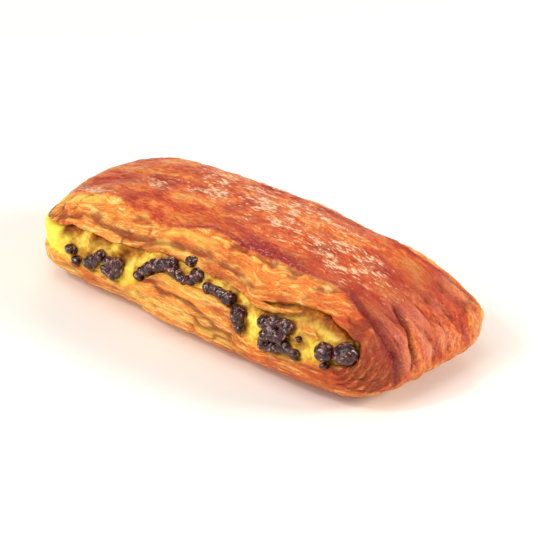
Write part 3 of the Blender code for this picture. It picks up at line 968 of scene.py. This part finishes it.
# %% The rim of the cream
RECESS = ((-75, 0.4), (-62, 1.0), (-45, 1.5), (-25, 1.7), (-10, 1.5), (15, 1.6), (28, 2.0),
          (45, 2.3), (63, 2.2))
ROOF_RECESS = ((-75, 0.4), (-64, 1.0), (-60, 2.4), (-56, 5.2), (-51, 3.6), (-47, 1.4), (-43, 4.6),
               (-38, 3.4), (-34, 1.8), (-30, 4.4), (-26, 3.6), (-20, 2.2),
               (-12, 2.4), (10, 2.0), (22, 2.6), (32, 4.6), (42, 6.0), (52, 6.2), (58, 4.4), (63, 2.4))
UNDER_FLOOR, OVER_ROOF = 1.3, 0.6
to_mouth = smooth(-58, -73, plan_x)
is_back = smooth(-6, 6, plan_y)


def both_sides(front, back, mouth, x):
    """A height round the cream's rim: the front's, the back's, and the mouth's at the open end."""
    side = along(front, x) * (1 - is_back) + along(back, x) * is_back
    return side * (1 - to_mouth) + mouth * to_mouth


cream_floor = both_sides(FRONT_FLOOR, BACK_FLOOR, MOUTH_FLOOR, plan_x) - UNDER_FLOOR
cream_roof = both_sides(FRONT_ROOF, BACK_ROOF, MOUTH_ROOF, plan_x) + OVER_ROOF - 1.0 * to_mouth
level = np.linspace(0, 1, RIM_ROWS)[:, None]
rim_z = cream_floor + (cream_roof - cream_floor) * level
shadowed = level**3 * (1 - 0.55 * is_back)
recess = along(RECESS, plan_x) * (1 - shadowed) + along(ROOF_RECESS, plan_x) * shadowed
shrink = spread(rim_z) / spread(np.array(WAIST))
rim_x, rim_y = plan_x * shrink, plan_y * shrink
at_end = smooth(0.55, 1.0, np.abs(plan_x) / HALF_LENGTH) * (plan_x < 0)
at_side = smooth(0.25, 0.85, np.abs(plan_y) / HALF_WIDTH)
inward_x = recess * np.sign(plan_x) * at_end
inward_y = recess * np.sign(plan_y) * at_side
rim_points = np.stack((np.minimum(rim_x - inward_x, CREAM_END), rim_y - inward_y, rim_z), axis=-1)
print(f"the rim is {np.ptp(rim_z, axis=0).min():.1f} to {np.ptp(rim_z, axis=0).max():.1f} mm high")

# %% [markdown]
# The cushion is closed above and below by rings that shrink towards its middle line. They lie
# inside the dough and never show, so a few steps are enough.

# %% The hidden top and bottom of the cream
closing = np.linspace(1, 0, HIDDEN_ROWS + 1)[1:-1, None, None] ** 0.8


def closing_rings(ring, deep_height):
    """Rings that close in from a rim ring to the cushion's middle line at another height."""
    target = ring * np.array([0.9, 0.0, 0.0]) + np.array([0, 0, deep_height])
    return target + (ring - target) * closing


below = closing_rings(rim_points[0], INSIDE_FLOOR + 0.6)[::-1]
above = closing_rings(rim_points[-1], INSIDE_ROOF - 0.6)
cream_rings = np.concatenate((below, rim_points, above))
print(f"{cream_rings.shape[0]} rings of {cream_rings.shape[1]} points")

# %% [markdown]
# Lumps at three scales make the rim boil up: noise with cells of 5.5, 2.6 and 1.2 mm, moved along
# the normals. They fade out towards the hidden faces.

# %% Lumps in the cream
cream_normal = ring_normals(np.swapaxes(cream_rings, 0, 1), np.array([0, 0, 16.0]))
cream_normal = np.swapaxes(cream_normal, 0, 1)
rim_share = np.sin(np.pi * np.linspace(0.04, 0.96, RIM_ROWS)) ** 0.5
is_rim = np.concatenate((np.zeros(len(below)), rim_share, np.zeros(len(above))))[:, None]
up_the_rim = np.concatenate((np.zeros(len(below)), level[:, 0], np.ones(len(above))))[:, None]
calm = 1 - 0.4 * smooth(0.5, 0.75, up_the_rim) * smooth(33, 40, cream_rings[..., 0])
lumps = 0.9 * noise(cream_rings, (5.5, 5.5, 4), 71) + 0.65 * noise(cream_rings, (2.6, 2.6, 2.2), 72)
lumps += 0.3 * noise(cream_rings, (1.2, 1.2, 1.2), 73)
lumps = lumps * calm + blobs(cream_rings, ((0.5, (-72, -6, 14), (8, 26, 4)),))
cream_rings = cream_rings + (lumps * is_rim)[..., None] * cream_normal
print(f"lumps from {(lumps * is_rim).min():.1f} to {(lumps * is_rim).max():.1f} mm")

# %% [markdown]
# ## Baked pastry cream
#
# The real one is a custard of milk, yolk and starch, boiled and then baked. It is moist, so it has
# soft highlights, and light goes a millimetre or two into it, which lifts its shadows to yellow.
# Where it touches chocolate it is stained caramel brown, and deep in the recess under the upper
# leaf it is painted dark brown as shade. Two numbers a vertex say so: one for that painted shade
# and stain, and one for the brightest yellow.

# %% Baked pastry cream
pastry_cream, cream_tree, shader = finish("baked_pastry_cream")
place = node(cream_tree, "ShaderNodeTexCoord", output="Object")
shade_and_stain_share = node(cream_tree, "ShaderNodeAttribute", output="Fac", attribute_name="recess_shade_and_stain")
brightest_yellow_share = node(cream_tree, "ShaderNodeAttribute", output="Fac", attribute_name="brightest_yellow")
clouds, grains = patterns(cream_tree, place, (((6, 6, 4), 4.0, 0.4), ((1.2, 1.2, 1.2), 3.0, 0.0)))
tone = node(cream_tree, "ShaderNodeMix", {0: 0.35, 2: clouds, 3: grains}, data_type="FLOAT")
cream_color = node(cream_tree, "ShaderNodeValToRGB", (tone,), stops=(
    (0.38, "#c08428"), (0.46, "#e2ac40"), (0.53, "#f8d050"), (0.61, "#ffec7a")))
# painted shade deep in the recess under the upper leaf, and the stain round the drops
shade_and_stain_color = node(cream_tree, "ShaderNodeValToRGB", (tone,), stops=(
    (0.38, "#6a2c04"), (0.50, "#964a0c"), (0.62, "#bc7c20")))
for share, tint in ((brightest_yellow_share, linear("#ffee54")), (shade_and_stain_share, shade_and_stain_color)):
    cream_color = node(cream_tree, "ShaderNodeMix", {0: share, 6: cream_color, 7: tint},
                       output=2, data_type="RGBA")
moist = node(cream_tree, "ShaderNodeMapRange", (grains, 0.3, 0.7, 0.32, 0.55))
CREAM_RELIEF = 0.8 * MM
cream_bump = node(cream_tree, "ShaderNodeBump",
                  {"Height": tone, "Strength": 0.8, "Distance": CREAM_RELIEF})
fill(shader, {
    "Base Color": cream_color, "Roughness": moist, "Normal": cream_bump,
    "IOR": 1.4,  # a wet custard
    "Specular IOR Level": 0.25, "Subsurface Weight": 0.25,
    "Subsurface Radius": (1.0, 0.6, 0.2), "Subsurface Scale": 2.0 * MM,
})
print(len(cream_tree.nodes), "nodes in the cream's finish")

# %% [markdown]
# The two masks follow the shape: the cream is painted dark as shade where the roof's recess is
# deep. It is stained up to 0.4 mm from a drop's skin, and the stain fades over the next
# millimetre or two.

# %% The layer of cream
STAIN_REACH = 1.4  # how far a drop stains the cream round it
BRIGHTEST_YELLOW_SPOTS = ((0.7, (-26, -32, 15), (4, 9, 4)), (0.6, (49, -30, 19), (3, 9, 3)),
               (0.35, (26, -31, 17), (4, 9, 4)))
cream_x, cream_y = cream_rings[..., 0], cream_rings[..., 1]
# painted shade: darker deep in the recess under the upper leaf
recess_shade_and_stain = smooth(0.5, 0.9, up_the_rim) * smooth(1.8, 4.2, along(ROOF_RECESS, cream_x))
beyond_drops = np.min([np.linalg.norm(cream_rings - middle, axis=-1) - radius
                       for middle, radius in zip(drop_middles, drop_radii)], axis=0)
stain = 0.8 * bell(np.maximum(beyond_drops - 0.4, 0), STAIN_REACH)
stain = stain * (0.7 + 0.8 * noise(cream_rings, (2.5, 2.5, 2.5), 74))
stain = stain + blobs(cream_rings, ((0.6, (-50.5, -30, 14.5), (4.5, 9, 3.5)),))
recess_shade_and_stain = np.clip(np.maximum(recess_shade_and_stain, stain), 0, 1)

# the brightest yellow, at the open end's front corner and in a few spots
brightest_yellow = blobs(cream_rings, ((1.5, (-69, -20, 15), (13, 24, 8)),)) * smooth(2, -16, cream_y)
brightest_yellow = np.clip(brightest_yellow + blobs(cream_rings, BRIGHTEST_YELLOW_SPOTS), 0, 1)
print(f"sunken {recess_shade_and_stain.mean():.2f} and fresh {brightest_yellow.mean():.2f} on average")
closed_skin("pastry_cream_layer", cream_rings, pastry_cream, ["custard"],
            {"recess_shade_and_stain": recess_shade_and_stain, "brightest_yellow": brightest_yellow})

# %% [markdown]
# ## Dark chocolate
#
# Baking drops are dark chocolate that melted in the oven and set again by itself. Its cocoa butter
# came to the surface as a greyish pink bloom, and its skin is wrinkled but glossy: a dark body with
# small hard highlights, which the coat gives. The palest pink specks in its colour are painted
# glints as well as bloom. Its real pits are finer, but 0.8 mm is the finest cell that shows.

# %% Dark chocolate
dark_chocolate, chocolate_tree, shader = finish("dark_chocolate_baked")
place = node(chocolate_tree, "ShaderNodeTexCoord", output="Object")
bloom_and_glints, pits = patterns(chocolate_tree, place, (((1.1, 1.1, 1.1), 3.0, 0.4), ((0.8, 0.8, 0.8), 3.0, 0.0)))
# the top stops are pinkish bloom and painted glints
chocolate_color = node(chocolate_tree, "ShaderNodeValToRGB", (bloom_and_glints,), stops=(
    (0.42, "#1e0506"), (0.52, "#3e1314"), (0.60, "#64302c"), (0.67, "#bc8c86")))
set_skin = node(chocolate_tree, "ShaderNodeMapRange", (pits, 0.3, 0.7, 0.10, 0.28))
PIT_DEPTH = 0.25 * MM
pitted = node(chocolate_tree, "ShaderNodeBump",
              {"Height": pits, "Strength": 0.9, "Distance": PIT_DEPTH})
fill(shader, {
    "Base Color": chocolate_color, "Roughness": set_skin, "Normal": pitted,
    "IOR": 1.46,  # cocoa butter
    "Coat Weight": 0.35, "Coat Roughness": 0.12,
})
print(len(chocolate_tree.nodes), "nodes in the chocolate's finish")

# %% [markdown]
# ## Chocolate drops
#
# A drop keeps its shape in the oven, but its skin wrinkles. Each is a globe of rings round its own
# axis, knobbly at two scales, and a little larger than its place in the frame, so that neighbours
# that melted together touch. A few are moved or resized by a millimetre or two, where the melting
# pushed them together or left one alone.


# %% A knobbly globe
LATITUDES, LONGITUDES = 30, 46
KNOB_CELL, KNOB_HEIGHT = 2.1, 0.55


def globe(middle, radius, squash, seed):
    """Rings of latitude on an ellipsoid, moved by noise on its directions.

    |noise| has round tops and sharp valleys, which gives berry-like knobs 2 mm apart.
    """
    latitude = np.linspace(0, np.pi, LATITUDES + 2)[1:-1, None]
    longitude = np.linspace(0, 2 * np.pi, LONGITUDES, endpoint=False)
    way = np.stack(np.broadcast_arrays(np.sin(latitude) * np.cos(longitude),
                                       np.sin(latitude) * np.sin(longitude), np.cos(latitude)), axis=-1)
    knobs = creased(way * radius + 20, (KNOB_CELL,) * 3, seed) - 0.3
    uneven = noise(way + 10, (0.9, 0.9, 0.9), seed + 50)
    return middle + way * (radius * (1 + 0.1 * uneven) + KNOB_HEIGHT * knobs)[..., None] * squash


def front(number):
    """The row of a front drop in the tables of drops."""
    return drop_names.index(f"chocolate_drop_front_{number:02d}")


print("front drop 1 is row", front(1))

# %% [markdown]
# How far a drop melted depends on its nearest neighbour: it grows towards it, by at least 5 and at
# most 40 percent. A drop that lies alone and those on the back keep their size. Front drops come
# 0.7 mm out of the cream, and back ones sink 0.8 mm into it.

# %% Melted sizes and places
MELTED = 0.60  # a drop's melted reach, as a share of the way to its nearest neighbour
LONE_DROP = 15
SCALES = {21: 0.7, 32: 1.1}
SHIFTS = {LONE_DROP: (0, -1.5, 0.3), 31: (-1.2, 1.0, -1.0), 32: (-0.2, -0.2, 1.0), 33: (0, -0.8, 1.8)}

apart = np.linalg.norm(drop_middles[:, None] - drop_middles, axis=-1) + 99 * np.eye(len(drop_names))
melted_radii = np.clip(apart.min(axis=1) * MELTED, 1.05 * drop_radii, 1.4 * drop_radii)
melted_radii = np.where(drop_middles[:, 1] < 0, melted_radii, drop_radii)
melted_radii[front(LONE_DROP)] = drop_radii[front(LONE_DROP)]
drop_places = drop_middles + np.where(drop_middles[:, 1:2] < 0, (0, -0.7, 0), (0, -0.8, 0))
for number, scale in SCALES.items():
    melted_radii[front(number)] *= scale
for number, shift in SHIFTS.items():
    drop_places[front(number)] += shift
print(f"melted radius {melted_radii.min():.1f} to {melted_radii.max():.1f} mm")

# %% [markdown]
# Each drop is now one globe. Its seed comes from its place in the list, so it always gets the same
# knobs.

# %% The drops
for number, name in enumerate(drop_names):
    squash = drop_sizes[number] / drop_radii[number]
    rings_of_drop = globe(drop_places[number], melted_radii[number], squash, 100 + number)
    closed_skin(name.replace("chocolate_drop", "baked_drop"), rings_of_drop, dark_chocolate,
                [name])

# %% [markdown]
# Where drops lay close together they melted into one another. A knobbly band along such a row of
# drops fills the valleys between them. A band is a round tube whose middle line and radius are smooth
# curves through stations, so the same function also makes strands of torn dough.


# %% A tube along a smooth line
def tube(stations, radii, knobs, cell, seed, around=36, step=0.35):
    """Rings round a smooth line through stations, with radii to match, rounded off at both ends.

    Radius at a share t from -1 to 1 of the length: radius * (1 - t^6)^(1/2), plus knobs of |noise|.
    """
    stations = np.array(stations, float)
    walked = np.concatenate(([0], np.cumsum(np.linalg.norm(np.diff(stations, axis=0), axis=1))))
    at = np.linspace(0, walked[-1], int(walked[-1] / step) + 2)
    line = np.stack([along(np.column_stack((walked, stations[:, k])), at) for k in range(3)], axis=-1)
    forward = np.gradient(line, axis=0)
    forward /= np.linalg.norm(forward, axis=1, keepdims=True)
    across = np.cross(forward, (0, 1, 0))
    across /= np.linalg.norm(across, axis=1, keepdims=True)
    outward = np.cross(across, forward)
    turn = np.linspace(0, 2 * np.pi, around, endpoint=False)[:, None]
    way = across[:, None] * np.cos(turn) + outward[:, None] * np.sin(turn)
    share = np.linspace(-0.995, 0.995, len(at))
    radius = along(np.column_stack((walked, radii)), at) * np.sqrt(1 - share**6)
    bumps = knobs * (creased(line[:, None] + way * radius[:, None, None], cell, seed) - 0.3)
    bumps = bumps * np.minimum(radius, 1)[:, None]
    return line[:, None] + way * (radius[:, None] + bumps)[..., None]


print("a 3 mm tube has", len(tube(((0, 0, 0), (3, 0, 0)), (1, 1), 0.1, (1, 1, 1), 1)), "rings")

# %% [markdown]
# Each band goes from drop to drop along a row, a little thinner than the drops, so it fills only
# the valleys between them.

# %% Melted bands between drops
MELTED_ROWS = ((3, 4), (8, 7, 6, 5), (9, 10, 11, 12), (12, 13, 14, 16), (17, 18, 19), (20, 21),
               (22, 23, 24, 26, 25, 27, 28, 29, 30), (22, 26))
BAND_SHARE = 0.82  # a band's radius, as a share of the drops' own
for number, row in enumerate(MELTED_ROWS, start=1):
    names = [f"chocolate_drop_front_{drop:02d}" for drop in row]
    rows = [front(drop) for drop in row]
    band = tube(drop_places[rows] + (0, -0.2, 0), BAND_SHARE * melted_radii[rows], 0.8,
                (1.9, 1.9, 1.9), 200 + number)
    closed_skin(f"melted_chocolate_{number}", band, dark_chocolate, names)

# %% [markdown]
# ## Torn strands of dough
#
# Where the upper leaf lifted off the cream, strands of dough tore and stayed hanging across the gap.
# They are thin tubes in the dough's own finish, through stations (x, z) on the cut side.

# %% Strands
STRANDS = (  # name, stations, radii, seed
    ("torn_strand_long", ((20, 26.0), (25, 24.9), (30, 24.6), (36, 25.4), (42, 26.6)),
     (1.2, 1.3, 1.1, 0.8, 0.5), 301),
    ("torn_strand_short", ((44, 23.2), (47.5, 22.8), (51.5, 21.4)), (0.8, 1.0, 0.6), 303),
)
SUNK_IN = 0.9  # how far a strand's middle line lies inside the pillow's side
for name, stations, radii, seed in STRANDS:
    x_stations, z_stations = np.array(stations, float).T
    places = np.column_stack((x_stations, -half_width(x_stations, z_stations) + SUNK_IN, z_stations))
    rings_of_strand = tube(places, radii, 0.5, (3.0, 1.0, 1.0), seed, 28)
    flat = np.zeros(rings_of_strand.shape[:2])
    tints = {"strip": rings_of_strand * MM, **{key: flat for key in DOUGH_MASKS}}
    tints.update({"pale": flat + 0.1, "toast": flat + 0.45})
    closed_skin(name, rings_of_strand, baked_dough, ["dough"], tints)

# %% [markdown]
# ## The floor
#
# The strip lies on a board with pale matt paint. It sends light back up to the underside and catches
# a soft shadow.

# %% Floor
FLOOR_SIZE = 6.0  # metres
FLOOR_DROP = 0.0002  # metres below the strip, so that the two never share a plane
bpy.ops.mesh.primitive_plane_add(size=FLOOR_SIZE, location=(0, 0, -FLOOR_DROP))
floor = bpy.context.object
floor.name = "floor"
floor_paint, floor_tree, shader = finish("pale_floor")
fill(shader, {"Base Color": linear("#f7f5f2"), "Roughness": 0.8})
floor.data.materials.append(floor_paint)
print(len(floor_tree.nodes), "nodes in the floor's paint")
